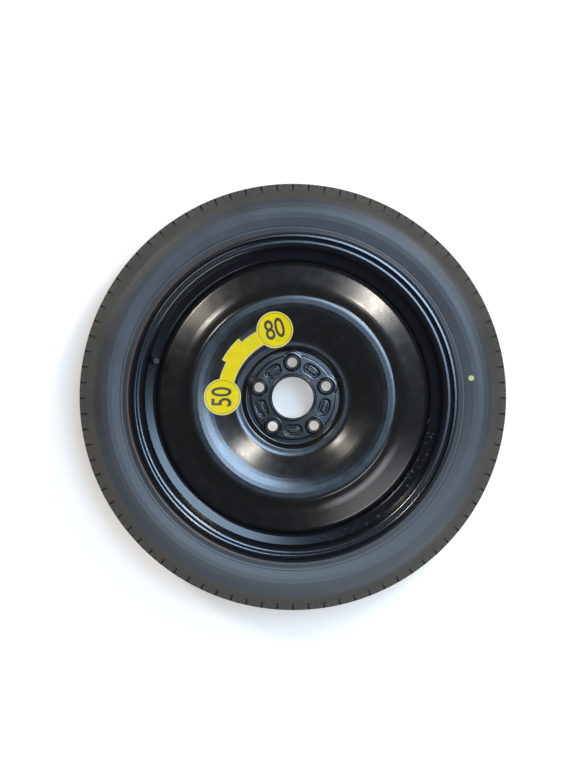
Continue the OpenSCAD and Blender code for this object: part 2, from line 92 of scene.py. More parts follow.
def soft_lamp(name, azimuth, off_axis, distance, size, power, colour, turn=0):
    """A rectangular light that faces the hub; azimuth is measured round +Z from +X."""
    data = bpy.data.lights.new(name, "AREA")
    data.shape = "RECTANGLE"
    data.size, data.size_y = size
    data.energy = power
    data.color = colour
    lamp = bpy.data.objects.new(name, data)
    bpy.context.scene.collection.objects.link(lamp)
    back = Vector((math.sin(off_axis) * math.cos(azimuth), math.sin(off_axis) * math.sin(azimuth),
                   math.cos(off_axis)))
    lamp.location = back * distance
    lamp.rotation_mode = "QUATERNION"
    lamp.rotation_quaternion = back.to_track_quat("Z", "Y")
    lamp.rotation_quaternion @= Matrix.Rotation(turn, 3, "Z").to_quaternion()


warm = (1.0, 0.93, 0.82)
sky = (0.5, 0.72, 1.0)
soft_lamp("lamp_left", 139 * deg, 40 * deg, 3.0, (0.42, 0.22), 26, warm, 49 * deg)
soft_lamp("lamp_right", 48 * deg, 35 * deg, 3.0, (0.5, 0.22), 27, warm, -42 * deg)
soft_lamp("window", 42 * deg, 16 * deg, 3.2, (1.05, 1.05), 88, sky, -42 * deg)
soft_lamp("skylight", 0, 10 * deg, 3.3, (0.25, 0.8), 5, sky)
soft_lamp("side_light", 308 * deg, 45 * deg, 3.2, (1.6, 0.9), 27, (0.95, 0.97, 1.0))

bpy.ops.object.select_all(action="DESELECT")
bpy.ops.mesh.primitive_plane_add(size=14, location=(0, 0, cad_box[0].z))
floor = bpy.context.object
floor.name = "floor"
white, _, white_shader = node_material("white_table", (0.68, 0.63, 0.57), 0.9)
white_shader.inputs["Emission Color"].default_value = (1, 1, 1, 1)
white_shader.inputs["Emission Strength"].default_value = 0.4
floor.data.materials.append(white)

world = bpy.data.worlds.new("room")
bpy.context.scene.world = world
world.use_nodes = True
room = world.node_tree
dark_room = room.nodes["Background"]
dark_room.inputs["Color"].default_value = (0.08, 0.085, 0.1, 1)
pale_wall = room.nodes.new("ShaderNodeBackground")
pale_wall.inputs["Color"].default_value = (0.93, 0.94, 0.95, 1)
seen_by = room.nodes.new("ShaderNodeLightPath")
by_camera = room.nodes.new("ShaderNodeMixShader")
room.links.new(seen_by.outputs["Is Camera Ray"], by_camera.inputs["Fac"])
room.links.new(dark_room.outputs[0], by_camera.inputs[1])
room.links.new(pale_wall.outputs[0], by_camera.inputs[2])
room.links.new(by_camera.outputs[0], room.nodes["World Output"].inputs["Surface"])

# The tyre: a narrow temporary-use radial of moulded black rubber, stretched on the rim.
# It has four grooves round the tread, a slot and a sipe by turns across each shoulder, and fine
# ribs on the sidewalls. The mould gives each of its 84 pitches the same form.
mid_z = -20 * mm
tyre_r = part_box("tyre")[1].x
seat_r = 231 * mm
flange_r = seat_r + 17.3 * mm
half_rim = 50.8 * mm
half_section = (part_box("tyre")[1].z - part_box("tyre")[0].z) / 2
half_tread = 50 * mm
face_edge = 42 * mm
crown_curve = 320 * mm
pitches = 84


def turned(v, angle):
    """A 2D vector turned by an angle."""
    return Vector((v.x * math.cos(angle) - v.y * math.sin(angle),
                   v.x * math.sin(angle) + v.y * math.cos(angle)))


def rounded(corners, arc_step=5 * deg, longest=12 * mm):
    """Points along a line of corners (r, z, radius), with a true arc at each corner.

    A straight run gets a point close to each end, which keeps its shading straight.
    """
    points = [Vector(corners[0][:2])]
    for before, corner, after in zip(corners, corners[1:], corners[2:]):
        here = Vector(corner[:2])
        come = (here - Vector(before[:2])).normalized()
        leave = (Vector(after[:2]) - here).normalized()
        bend = math.atan2(come.x * leave.y - come.y * leave.x, come.dot(leave))
        start = here - come * corner[2] * math.tan(abs(bend) / 2)
        side = math.copysign(1, bend)
        centre = start + Vector((-come.y, come.x)) * corner[2] * side
        count = max(2, math.ceil(abs(bend) / arc_step), math.ceil(abs(bend) * corner[2] / longest))
        if corner[2] == 0:
            points.append(here)
            continue
        for i in range(count + 1):
            points.append(centre + turned(start - centre, bend * i / count))
    points.append(Vector(corners[-1][:2]))
    return supported(points, longest)


def supported(points, longest):
    """The same line with its long runs divided, and a point near both ends of each."""
    full = [points[0]]
    for a, b in zip(points, points[1:]):
        run = (b - a).length
        if run < 1e-6:
            continue
        if run > 4 * mm:
            near = 0.6 * mm / run
            count = max(1, math.ceil(run / longest))
            shares = [near] + [i / count for i in range(1, count)] + [1 - near]
            full += [a.lerp(b, share) for share in shares]
        full.append(b)
    return full


def draw(name, points):
    """A line in the XZ plane, drawn by extruding one vertex from point to point; in edit mode."""
    bpy.ops.object.select_all(action="DESELECT")
    bpy.ops.mesh.primitive_plane_add(size=mm)
    piece = bpy.context.object
    piece.name = name
    bpy.ops.object.mode_set(mode="EDIT")
    bpy.ops.mesh.select_all(action="SELECT")
    bpy.ops.mesh.merge(type="CENTER")
    bpy.ops.transform.translate(value=(points[0].x, 0, points[0].y))
    for a, b in zip(points, points[1:]):
        step = (b.x - a.x, 0, b.y - a.y)
        bpy.ops.mesh.extrude_vertices_move(TRANSFORM_OT_translate={"value": step})
    return piece


def spin_round(steps, merge=0.005 * mm):
    """Everything in edit mode is spun round the wheel's axis; points within merge become one."""
    bpy.ops.mesh.select_all(action="SELECT")
    bpy.ops.mesh.spin(steps=steps, angle=2 * math.pi, center=(0, 0, 0), axis=(0, 0, 1))
    bpy.ops.mesh.select_all(action="SELECT")
    bpy.ops.mesh.remove_doubles(threshold=merge)


def select_faces(piece, wanted):
    """In edit mode, selects the faces whose centre the test wants."""
    bpy.ops.mesh.select_mode(type="FACE")
    bpy.ops.mesh.select_all(action="DESELECT")
    mesh = bmesh.from_edit_mesh(piece.data)
    for face in mesh.faces:
        face.select_set(wanted(face.calc_center_median()))
    mesh.select_flush_mode()
    bmesh.update_edit_mesh(piece.data)


def smooth(piece, angle):
    """Back to object mode, with smooth shading up to that angle."""
    if piece.mode == "EDIT":
        bpy.ops.object.mode_set(mode="OBJECT")
    bpy.ops.object.select_all(action="DESELECT")
    piece.select_set(True)
    bpy.context.view_layer.objects.active = piece
    bpy.ops.object.shade_smooth_by_angle(angle=angle)


def crown(z):
    """Radius of the tread's face at a height from the tyre's middle."""
    return tyre_r - z * z / (2 * crown_curve)


def taper_at(z):
    """Radius of the rim's bare bead seat at a height from its middle."""
    return seat_r - math.tan(5 * deg) * (half_rim - z)


def seat_at(z):
    """Radius of the tyre's bead at that height, with a small gap to the seat."""
    return taper_at(z) + 0.3 * mm


def tyre_half():
    """Corners of the outboard half, from inside the crown round the bead to the tread's edge."""
    wall = 6.8 * mm
    tread = 12.5 * mm
    bead = 12.6 * mm
    lip_clear = 9.8 * mm
    wrap = 60 * deg
    bulge_r = seat_r + 0.56 * (tyre_r - seat_r)
    shoulder_r = tyre_r - 24.5 * mm
    lip_r = flange_r - 9.5 * mm
    leave = (lip_r + lip_clear * math.sin(wrap), half_rim + 9.5 * mm - lip_clear * math.cos(wrap))
    inside = [
        (tyre_r - tread, 0.6 * half_tread, 200 * mm),
        (tyre_r - tread - mm, half_tread - 5 * mm, 14 * mm),
        (shoulder_r - 3 * mm, half_section - wall - 3 * mm, 35 * mm),
        (bulge_r, half_section - wall, 60 * mm),
        (flange_r + 9.5 * mm, half_section - wall - 1.5 * mm, 14 * mm),
        (flange_r - 4 * mm, half_rim - wall - 0.6 * mm, 14 * mm),
        (seat_at(half_rim - bead) + 3 * mm, half_rim - bead - 0.6 * mm, 2 * mm)
    ]
    outside = [
        (seat_at(half_rim - bead), half_rim - bead, 1.5 * mm),
        (seat_at(half_rim - 0.3 * mm), half_rim - 0.3 * mm, 6.8 * mm),
        (lip_r + lip_clear * math.tan(wrap / 2), half_rim - 0.3 * mm, lip_clear),
        (leave[0] + 7 * mm * math.cos(wrap), leave[1] + 7 * mm * math.sin(wrap), 4 * mm),
        (flange_r + 10 * mm, half_section - 3.2 * mm, 9 * mm),
        (bulge_r, half_section + 0.8 * mm, 60 * mm),
        (shoulder_r, half_section - 3.5 * mm, 45 * mm),
        (crown(half_tread) - 0.6 * mm, half_tread + 0.8 * mm, 7 * mm),
        (crown(face_edge), face_edge, 0)
    ]
    return inside + outside


def tread_face():
    """Corners along the tread from its outboard to its inboard edge, down and up each groove."""
    corners = []
    groove_w, groove_depth, groove_step = 6 * mm, 4.5 * mm, 21.74 * mm
    for z in (1.5 * groove_step, 0.5 * groove_step, -0.5 * groove_step, -1.5 * groove_step):
        top, foot = z + groove_w / 2, z - groove_w / 2
        corners += [
            (crown(top), top, 0.5 * mm),
            (crown(z) - groove_depth, top - 0.7 * mm, 0.8 * mm),
            (crown(z) - groove_depth, foot + 0.7 * mm, 0.8 * mm),
            (crown(foot), foot, 0.5 * mm)
        ]
        if z > -groove_step:
            middle = z - groove_step / 2
            corners.append((crown(middle), middle, 0))
    return corners


def with_ribs(points, radii, width=1.3 * mm, height=0.6 * mm):
    """The line of half the tyre, with a small rib raised on its sidewall at each radius."""
    ribbed = []
    for a, b in zip(points, points[1:]):
        ribbed.append(a)
        on_wall = a.y > half_tread and b.x > a.x and a.x > flange_r
        for r in radii:
            if on_wall and a.x <= r < b.x:
                z = a.y + (b.y - a.y) * (r - a.x) / (b.x - a.x)
                ribbed += [Vector((r - width / 2, z)), Vector((r - width / 5, z + height)),
                           Vector((r + width / 5, z + height)), Vector((r + width / 2, z))]
    ribbed.append(points[-1])
    return ribbed


half_points = rounded(tyre_half(), arc_step=9 * deg, longest=16 * mm)
rib_radii = [flange_r + 4.5 * mm, flange_r + 7.7 * mm, seat_r + 31 * mm, tyre_r - 20.4 * mm,
             tyre_r - 15.6 * mm]
half_points = with_ribs(half_points, rib_radii)
face_corners = [(crown(face_edge), face_edge, 0)] + tread_face() + [(crown(face_edge), -face_edge, 0)]
tread_points = rounded(face_corners, arc_step=30 * deg, longest=20 * mm)
lower_points = [Vector((p.x, -p.y)) for p in reversed(half_points)]
section = half_points + tread_points[1:-1] + lower_points
section = [Vector((p.x, p.y + mid_z)) for p in section + section[:1]]

tyre = draw("tyre_casing", section)
bpy.ops.mesh.select_all(action="SELECT")
bpy.ops.mesh.remove_doubles(threshold=0.02 * mm)
pitch = 2 * math.pi / pitches
slot_half = 0.235 * deg
sipe_half = 0.075 * deg
stations = [-slot_half, -sipe_half, sipe_half, slot_half, pitch / 2 - slot_half, pitch / 2 - sipe_half,
            pitch / 2 + sipe_half, pitch / 2 + slot_half, pitch - slot_half]


def turn_selected(angle):
    """Turns what is selected round the wheel's axis; the operator counts the other way here."""
    bpy.ops.transform.rotate(value=-angle, orient_axis="Z", center_override=(0, 0, 0))


bpy.ops.mesh.select_all(action="SELECT")
turn_selected(stations[0])
for a, b in zip(stations, stations[1:]):
    bpy.ops.mesh.extrude_region_move()
    turn_selected(b - a)


def cut_across(middle, half_width, low, high, inner_r, depth, drop):
    """Sinks the faces of one slot or sipe, chosen by angle, by height and by radius."""
    def wanted(c):
        angle = math.atan2(c.y, c.x)
        r = math.hypot(c.x, c.y)
        return abs(angle - middle) < half_width and low < c.z - mid_z < high and r > inner_r
    select_faces(tyre, wanted)
    move = (-depth * math.cos(middle), -depth * math.sin(middle), -drop)
    bpy.ops.mesh.extrude_region_move(TRANSFORM_OT_translate={"value": move})


slot_foot_r = tyre_r - 14.5 * mm
sipe_foot_r = tyre_r - 11 * mm
slot_low, slot_high = 41 * mm, 70 * mm
cut_across(0, slot_half, slot_low, slot_high, slot_foot_r, 4.2 * mm, 1.8 * mm)
cut_across(pitch / 2, slot_half, -slot_high, -slot_low, slot_foot_r, 4.2 * mm, -1.8 * mm)
cut_across(pitch / 2, sipe_half, slot_low, slot_high, sipe_foot_r, 2.5 * mm, 1.2 * mm)
cut_across(0, sipe_half, -slot_high, -slot_low, sipe_foot_r, 2.5 * mm, -1.2 * mm)
for low, high, place in ((14.5, 29, 0), (-7.2, 7.2, pitch / 2), (-29, -14.5, 0)):
    cut_across(place, sipe_half, low * mm, high * mm, tyre_r - 2 * mm, 3 * mm, 0)

bpy.ops.mesh.select_mode(type="VERT")
bpy.ops.mesh.select_all(action="SELECT")
bpy.ops.mesh.spin(steps=pitches - 1, angle=2 * math.pi - pitch, center=(0, 0, 0), axis=(0, 0, 1),
                  dupli=True)
bpy.ops.mesh.select_all(action="SELECT")
bpy.ops.mesh.remove_doubles(threshold=0.01 * mm)
bpy.ops.mesh.normals_make_consistent(inside=False)
smooth(tyre, 32 * deg)
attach(tyre, "wheel")
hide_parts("tyre")


def link_math(tree, operation, *inputs):
    """A math node fed by sockets or numbers; returns its output."""
    node = tree.nodes.new("ShaderNodeMath")
    node.operation = operation
    for socket, value in zip(node.inputs, inputs):
        if isinstance(value, (int, float)):
            socket.default_value = value
        else:
            tree.links.new(value, socket)
    return node.outputs[0]


def position(tree):
    """Outputs x, y, z of the object coordinates and the radius from the wheel's axis."""
    place = tree.nodes.new("ShaderNodeTexCoord")
    parts = tree.nodes.new("ShaderNodeSeparateXYZ")
    tree.links.new(place.outputs["Object"], parts.inputs[0])
    x, y, z = parts.outputs
    square = link_math(tree, "ADD", link_math(tree, "MULTIPLY", x, x), link_math(tree, "MULTIPLY", y, y))
    return x, y, z, link_math(tree, "SQRT", square)


def noise(tree, scale, detail, roughness=0.5):
    """A noise texture on object coordinates; scale is in grains per metre."""
    place = tree.nodes.new("ShaderNodeTexCoord")
    texture = tree.nodes.new("ShaderNodeTexNoise")
    texture.inputs["Scale"].default_value = scale
    texture.inputs["Detail"].default_value = detail
    texture.inputs["Roughness"].default_value = roughness
    tree.links.new(place.outputs["Object"], texture.inputs["Vector"])
    return texture.outputs["Fac"]


def ramp(tree, value, low, high, to=(0, 1)):
    """Maps value from low..high to the numbers in to, along a smooth step."""
    node = tree.nodes.new("ShaderNodeMapRange")
    node.interpolation_type = "SMOOTHSTEP"
    for name, number in (("From Min", low), ("From Max", high), ("To Min", to[0]), ("To Max", to[1])):
        node.inputs[name].default_value = number
    tree.links.new(value, node.inputs["Value"])
    return node.outputs["Result"]


def blend(tree, factor, first, second):
    """Mixes two colours, each a tuple or a socket."""
    node = tree.nodes.new("ShaderNodeMix")
    node.data_type = "RGBA"
    for socket, colour in ((node.inputs[6], first), (node.inputs[7], second)):
        if isinstance(colour, tuple):
            socket.default_value = (*colour, 1)
        else:
            tree.links.new(colour, socket)
    tree.links.new(factor, node.inputs[0])
    return node.outputs[2]


def bumps(tree, shader, height, distance):
    """Feeds bumps to the shader's normal; distance is how high they are, in metres."""
    node = tree.nodes.new("ShaderNodeBump")
    node.inputs["Distance"].default_value = distance
    node.inputs["Strength"].default_value = 1
    tree.links.new(height, node.inputs["Height"])
    tree.links.new(node.outputs["Normal"], shader.inputs["Normal"])


def tyre_rubber():
    """Black rubber: painted sheen, a lighter grey low on the sidewall; rust beside the rim, brown dust,
    a paint dot.
    """
    material, tree, shader = node_material("tyre_rubber", (0.03, 0.03, 0.032), 0.5,
                                           Specular_IOR_Level=0.36)
    x, y, z, r = position(tree)
    cloudy = noise(tree, 14, 4)
    fine = noise(tree, 900, 2)
    dusty = ramp(tree, r, tyre_r - 32 * mm, tyre_r - 18 * mm)
    patchy = link_math(tree, "MULTIPLY", dusty, ramp(tree, cloudy, 0.2, 0.75, to=(0.6, 1)))
    wall = blend(tree, ramp(tree, cloudy, 0.3, 0.7), (0.022, 0.0215, 0.022), (0.034, 0.0333, 0.034))
    # Painted light: the sidewall's colour is painted lighter grey towards the bottom of the picture, a
    # painted sheen standing in for light falling there.
    painted_sheen_low = ramp(tree, y, 60 * mm, -300 * mm, to=(0, 0.9))
    wall = blend(tree, painted_sheen_low, wall, (0.066, 0.068, 0.071))
    rusty = link_math(tree, "MULTIPLY", ramp(tree, r, flange_r, flange_r + mm),
                      ramp(tree, r, flange_r + 3.2 * mm, flange_r + 2.2 * mm))
    to_the_left = ramp(tree, x, 40 * mm, -160 * mm, to=(0.02, 0.8))
    rusty = link_math(tree, "MULTIPLY", rusty, to_the_left)
    wall = blend(tree, rusty, wall, (0.16, 0.09, 0.06))
    colour = blend(tree, patchy, wall, (0.074, 0.061, 0.046))
    dot = Vector((270 * mm, 31 * mm))
    from_dot = link_math(tree, "SQRT", link_math(
        tree, "ADD",
        link_math(tree, "POWER", link_math(tree, "SUBTRACT", x, dot.x), 2),
        link_math(tree, "POWER", link_math(tree, "SUBTRACT", y, dot.y), 2)))
    outboard = ramp(tree, z, 20 * mm, 30 * mm)
    painted = link_math(tree, "MULTIPLY", ramp(tree, from_dot, 4.4 * mm, 3.8 * mm), outboard)
    colour = blend(tree, painted, colour, (0.42, 0.47, 0.12))
    tree.links.new(colour, shader.inputs["Base Color"])
    tree.links.new(ramp(tree, dusty, 0, 1, to=(0.4, 0.75)), shader.inputs["Roughness"])
    bumps(tree, shader, link_math(tree, "ADD", fine, link_math(tree, "MULTIPLY", cloudy, 2)), 0.15 * mm)
    return material


tyre.data.materials.append(tyre_rubber())

# The rim: steel sheet rolled into two flanges, tapered bead seats and a deep well, then dipped
# in gloss black paint. The valve's hole is punched in the well's outboard wall.
rim_t = 2.8 * mm
lip_w = 11.8 * mm
ledge_z = half_rim - 20.8 * mm
ledge_slope = 12 * deg
well_r = seat_r - 18.7 * mm
valve_angle = 164.5 * deg
valve_r = 221.2 * mm
valve_z = 8.1 * mm
valve_hole_r = 5.85 * mm


def solid_sheet(piece, thickness, point, facing):
    """Gives the open shell its steel, behind the side that faces that way at the point."""
    bpy.ops.mesh.select_all(action="SELECT")
    bpy.ops.mesh.normals_make_consistent(inside=False)
    mesh = bmesh.from_edit_mesh(piece.data)
    mesh.faces.ensure_lookup_table()
    probe = min(mesh.faces, key=lambda face: (face.calc_center_median() - point).length)
    if probe.normal.dot(facing) < 0:
        bpy.ops.mesh.flip_normals()
    bpy.ops.object.mode_set(mode="OBJECT")
    steel = piece.modifiers.new("steel", "SOLIDIFY")
    steel.thickness = thickness
    steel.offset = -1
    steel.use_even_offset = True
    bpy.ops.object.modifier_apply(modifier="steel")


def rim_corners():
    """The tyre side of the rim, from the outboard lip to the inboard one."""
    hump = 0.9 * mm
    bend = rim_t + 1.4 * mm
    top_r = taper_at(ledge_z) + hump
    drop = math.tan(ledge_slope) * (top_r - well_r)
    inner_z = ledge_z - mm
    return [
        (flange_r, half_rim + lip_w, 0),
        (flange_r, half_rim, 9.5 * mm),
        (seat_r, half_rim, 6.5 * mm),
        (taper_at(ledge_z + 8 * mm), ledge_z + 8 * mm, 4 * mm),
        (top_r, ledge_z + 4.8 * mm, bend),
        (top_r, ledge_z, bend),
        (well_r, ledge_z - drop, 4.5 * mm),
        (well_r, ledge_z - drop - 36 * mm, 12 * mm),
        (taper_at(inner_z) - 0.5 * mm, -inner_z + 3.2 * mm, 6 * mm),
        (taper_at(inner_z) + hump, -inner_z, bend),
        (taper_at(inner_z + 3.2 * mm), -inner_z - 3.2 * mm, 4 * mm),
        (seat_r, -half_rim, 6.5 * mm),
        (flange_r, -half_rim, 9.5 * mm),
        (flange_r, -half_rim - lip_w, 0)
    ]


rim = draw("rim_shell", [Vector((p.x, p.y + mid_z)) for p in rounded(rim_corners())])
spin_round(300)
solid_sheet(rim, rim_t, Vector((well_r, 0, mid_z)), Vector((1, 0, 0)))
valve_seat = (Matrix.Rotation(valve_angle, 4, "Z") @ Matrix.Translation((valve_r, 0, valve_z))
              @ Matrix.Rotation(ledge_slope, 4, "Y"))


def cut_by(piece, cutter, operation):
    """Takes the cutter's space out of the piece, or keeps only what lies in it."""
    cut = piece.modifiers.new("cut", "BOOLEAN")
    cut.operation = operation
    cut.object = cutter
    bpy.context.view_layer.objects.active = piece
    bpy.ops.object.modifier_apply(modifier="cut")
    bpy.data.objects.remove(cutter)


bpy.ops.object.select_all(action="DESELECT")
bpy.ops.mesh.primitive_cylinder_add(vertices=48, radius=valve_hole_r, depth=12 * mm)
punch = bpy.context.object
punch.matrix_world = valve_seat
cut_by(rim, punch, "DIFFERENCE")
smooth(rim, 32 * deg)
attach(rim, "wheel")
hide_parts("rim")


def arc_mask(tree, x, y, start, end, edge):
    """1 between two angles round the axis, in radians from +X, with soft ends."""
    angle = link_math(tree, "ARCTAN2", y, x)
    angle = link_math(tree, "FLOORED_MODULO", angle, 2 * math.pi)
    return link_math(tree, "MULTIPLY", ramp(tree, angle, start - edge, start + edge),
                     ramp(tree, angle, end + edge, end - edge))


def rim_paint():
    """Gloss black paint, duller on the ledge, with grey scuffs where the tyre was levered on."""
    black = (0.006, 0.0065, 0.008)
    ledge_in, ledge_out, fade = 208 * mm, 228 * mm, 3 * mm
    material, tree, shader = node_material("rim_paint", black, 0.17)
    x, y, z, r = position(tree)
    ledge = link_math(tree, "MULTIPLY", ramp(tree, r, ledge_in, ledge_in + fade),
                      ramp(tree, r, ledge_out, ledge_out - fade))
    above = link_math(tree, "MULTIPLY", ledge, ramp(tree, z, 0, 2 * mm))
    where = arc_mask(tree, x, y, 278 * deg, 350 * deg, 6 * deg)
    streaks = ramp(tree, noise(tree, 190, 5, 0.6), 0.6, 0.7, to=(0, 0.6))
    scuffed = link_math(tree, "MULTIPLY", link_math(tree, "MULTIPLY", above, where), streaks)
    tree.links.new(blend(tree, scuffed, black, (0.2, 0.21, 0.23)), shader.inputs["Base Color"])
    tree.links.new(ramp(tree, scuffed, 0, 1, to=(0.17, 0.55)), shader.inputs["Roughness"])
    tree.links.new(ramp(tree, ledge, 0, 1, to=(0.5, 0.2)), shader.inputs["Specular IOR Level"])
    orange_peel = noise(tree, 160, 2)
    bumps(tree, shader, orange_peel, 0.02 * mm)
    return material


rim.data.materials.append(rim_paint())

# The disc: one steel pressing in satin black paint. From the bore outwards it has a raised hub
# pad with five bolt seats and five pockets, a bowl, a crown, and a flange that is pressed down
# into the rim's well.
disc_t = 4 * mm
bore_r = 32.55 * mm
bolt_r = 54 * mm
bolts = 5
first_bolt = 91 * deg
bolt_angles = [first_bolt + i * 2 * math.pi / bolts for i in range(bolts)]
pad_r = 66 * mm
pad_h = 2.5 * mm
pocket_r = 50.5 * mm
pocket_half_w = 8.5 * mm
pocket_half_arc = 6 * deg
island_half_w = 3.8 * mm
island_h = 1.5 * mm
hub_wall_r = 72.5 * mm
crown_r = 154 * mm
crown_z = 28.4 * mm
disc_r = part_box("disc")[1].x
edge_z = 11.7 * mm
flange_end_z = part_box("disc")[0].z


def disc_corners():
    """The disc's outboard face as it would be without pad and pockets, from bore to flange end."""
    lip_top = disc_t + pad_h + 1.3 * mm
    shelf_z = disc_t + 7 * mm
    bowl_start = hub_wall_r + 16 * mm
    bowl_low, bowl_high = 100 * mm, 123 * mm
    slope_mid = crown_r + 16 * mm
    return [
        (bore_r, lip_top - mm, 0),
        (bore_r + 0.9 * mm, lip_top, 0.8 * mm),
        (bore_r + 2.4 * mm, lip_top, 1.0 * mm),
        (bore_r + 4.4 * mm, disc_t, 0.8 * mm),
        (hub_wall_r, disc_t, 3 * mm),
        (hub_wall_r + 5.5 * mm, shelf_z, 5 * mm),
        (bowl_start, shelf_z + 0.4 * mm, 22 * mm),
        (bowl_low, shelf_z + 0.4 * mm + math.tan(21.2 * deg) * (bowl_low - bowl_start), 150 * mm),
        (bowl_high, crown_z - 4.4 * mm, 100 * mm),
        (crown_r - 12.5 * mm, crown_z, 90 * mm),
        (crown_r + 3 * mm, crown_z, 11 * mm),
        (slope_mid, edge_z + 9.5 * mm, 60 * mm),
        (disc_r, edge_z, 10.5 * mm),
        (disc_r, flange_end_z, 0)
    ]


def step_up(distance, width):
    """0 outside, 1 inside, with a smooth flank of that width."""
    t = min(1, max(0, distance / width))
    return t * t * (3 - 2 * t)


def from_bolt(p):
    """Distance of a point to the nearest bolt's axis."""
    return min(math.hypot(p.x - bolt_r * math.cos(a), p.y - bolt_r * math.sin(a))
               for a in bolt_angles)


def from_pocket(p):
    """Distance of a point to the middle line of the nearest pocket."""
    share = 2 * math.pi / bolts
    off = (math.atan2(p.y, p.x) - first_bolt) % share - share / 2
    beyond = max(0, abs(off) - pocket_half_arc)
    r = math.hypot(p.x, p.y)
    if beyond == 0:
        return abs(r - pocket_r)
    end = Vector((pocket_r, 0))
    return (Vector((r * math.cos(beyond), r * math.sin(beyond))) - end).length


def press_hub(piece):
    """Presses pad, lobes, pockets and islands into the hub's fine grid."""
    lobe_r = 17.4 * mm
    for v in piece.data.vertices:
        r = math.hypot(v.co.x, v.co.y)
        if r > hub_wall_r + mm:
            continue
        pad = step_up(max(pad_r - r, lobe_r - from_bolt(v.co)), 2.2 * mm)
        middle = from_pocket(v.co)
        sunk = step_up(pocket_half_w - middle, 2.2 * mm)
        island = step_up(island_half_w + 0.6 * mm - middle, 1.6 * mm)
        base = disc_t + pad_h * pad * (1 - sunk) + island_h * island
        v.co.z = max(v.co.z, base)


grid_start, grid_end = 37.5 * mm, 69.6 * mm
seat_gap_r = 12.4 * mm
line = rounded(disc_corners())
fine = [Vector((r / 10 * mm, disc_t)) for r in range(380, 700, 9)]
line = [p for p in line if p.x < grid_start] + fine + [p for p in line if p.x > grid_end]
disc = draw("disc_pressing", line)
spin_round(320)
bpy.ops.object.mode_set(mode="OBJECT")
press_hub(disc)
bpy.ops.object.mode_set(mode="EDIT")
select_faces(disc, lambda c: from_bolt(c) < seat_gap_r)
bpy.ops.mesh.delete(type="FACE")
bpy.ops.mesh.select_mode(type="VERT")
solid_sheet(disc, disc_t, Vector((hub_wall_r, 0, disc_t)), Vector((0, 0, 1)))

seat_top = disc_t + pad_h + 3.4 * mm
seat_low = 2.4 * mm
seat_foot = (10 * mm, seat_low, 0)
seat_ring = [
    (7.5 * mm, seat_low, 0.4 * mm),
    (7.5 * mm, seat_top - 3.8 * mm, 0.6 * mm),
    (9.7 * mm, seat_top, 0.5 * mm),
    (10.7 * mm, seat_top, 0.8 * mm),
    (13.6 * mm, disc_t + pad_h + 0.05 * mm, 1.6 * mm),
    (16.2 * mm, disc_t + pad_h - 0.12 * mm, 0),
    (15.6 * mm, disc_t + pad_h - 1.2 * mm, 0),
    (13.4 * mm, seat_low, 0.8 * mm)
]
seat_line = rounded([seat_foot] + seat_ring + [seat_foot], 12 * deg, 3 * mm)
seat = draw("bolt_seat", seat_line)
spin_round(56)
bpy.ops.mesh.normals_make_consistent(inside=False)
bpy.ops.object.mode_set(mode="OBJECT")
seats = []
for a in bolt_angles:
    copy = seat.copy()
    copy.data = seat.data.copy()
    copy.data.transform(Matrix.Translation((bolt_r * math.cos(a), bolt_r * math.sin(a), 0)))
    bpy.context.scene.collection.objects.link(copy)
    seats.append(copy)
bpy.data.objects.remove(seat)
contact_ring = draw("contact_ring", [Vector(p) for p in (
    (bore_r, 0), (37.6 * mm, 0), (37.8 * mm, 3.2 * mm), (bore_r, 3.2 * mm), (bore_r, 0))])
spin_round(160)
bpy.ops.mesh.normals_make_consistent(inside=False)
bpy.ops.object.mode_set(mode="OBJECT")
bpy.ops.object.select_all(action="DESELECT")
for part in seats + [contact_ring, disc]:
    part.select_set(True)
bpy.context.view_layer.objects.active = disc
bpy.ops.object.join()
smooth(disc, 35 * deg)
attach(disc, "wheel")
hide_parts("disc")


def disc_paint():
    """Satin black dip paint with a soft sheen and a thin patchy dust."""
    material, tree, shader = node_material("disc_paint", (0.008, 0.0078, 0.0075), 0.21)
    dust = ramp(tree, noise(tree, 40, 6, 0.65), 0.45, 0.8)
    tree.links.new(blend(tree, dust, (0.007, 0.0068, 0.0065), (0.014, 0.013, 0.012)),
                   shader.inputs["Base Color"])
    tree.links.new(ramp(tree, noise(tree, 60, 4), 0.3, 0.7, to=(0.19, 0.23)), shader.inputs["Roughness"])
    bumps(tree, shader, noise(tree, 700, 2), 0.008 * mm)
    return material


disc.data.materials.append(disc_paint())

# The welds: four short beads of electric arc weld that hold the disc's flange in the well,
# dipped in the same paint as the wheel.


def dress(node, material):
    """Gives a CAD node its material in every slot."""
    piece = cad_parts[node]
    if not piece.material_slots:
        piece.data.materials.append(material)
    for place in piece.material_slots:
        place.material = material


def weld_paint():
    """Black paint over the ripples of the weld."""
    material, tree, shader = node_material("weld_paint", (0.012, 0.012, 0.013), 0.35)
    bumps(tree, shader, noise(tree, 380, 3), 0.6 * mm)
    return material


dress("weld_beads", weld_paint())

# The valve: a snap-in rubber body round a threaded brass stem, with the spring-loaded core
# screwed into it and a ribbed plastic cap on top.


def plain_finish(name, colour, roughness, grain, height, **sockets):
    """A finish of one colour that varies slightly, with a fine grain."""
    material, tree, shader = node_material(name, colour, roughness, **sockets)
    lighter = tuple(min(1, 1.35 * c + 0.004) for c in colour)
    tree.links.new(blend(tree, noise(tree, grain / 8, 3), colour, lighter), shader.inputs["Base Color"])
    bumps(tree, shader, noise(tree, grain, 2), height)
    return material


